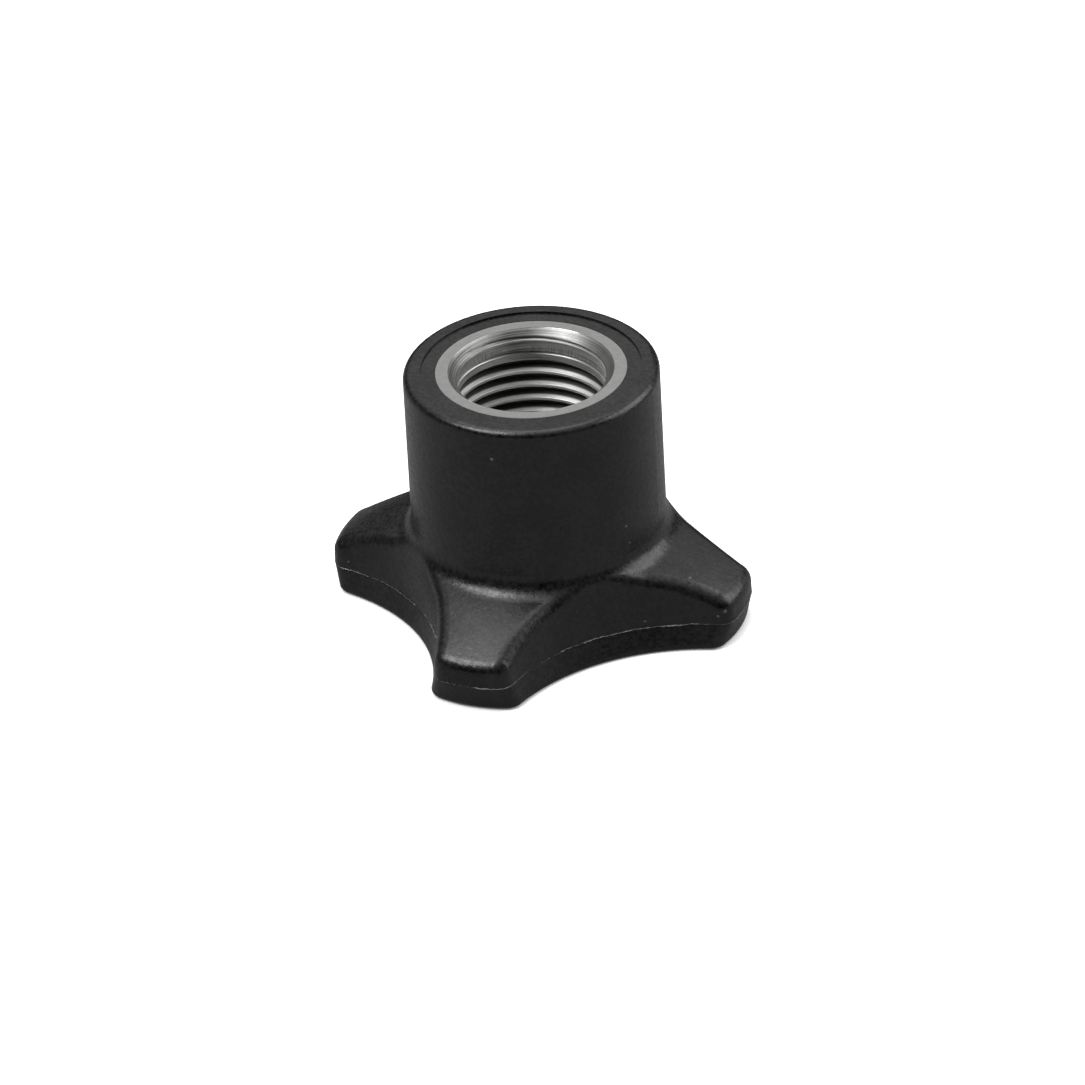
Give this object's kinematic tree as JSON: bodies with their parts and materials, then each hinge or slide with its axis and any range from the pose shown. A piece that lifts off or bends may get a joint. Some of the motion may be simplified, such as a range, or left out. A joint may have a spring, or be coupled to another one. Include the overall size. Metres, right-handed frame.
{
  "type": "star knob",
  "caption": "Black moulded plastic star knob with a tall hub, scooped lobes and a steel insert with a blind threaded hole.",
  "frame": {"origin": "centre of the crown, the palm side, on the floor that the knob stands on", "axes": "+Z along the thread axis, out of the hub's mouth; +X and +Y run through the middle of two lobes"},
  "size_m": [0.042, 0.042, 0.0263],
  "materials": {
    "moulded_plastic": "satin black, as moulded",
    "turned_steel": "turned and tapped, bare"
  },
  "bodies": {
    "root": {"knob_body": "moulded_plastic", "threaded_insert": "turned_steel"}
  },
  "joints": []
}
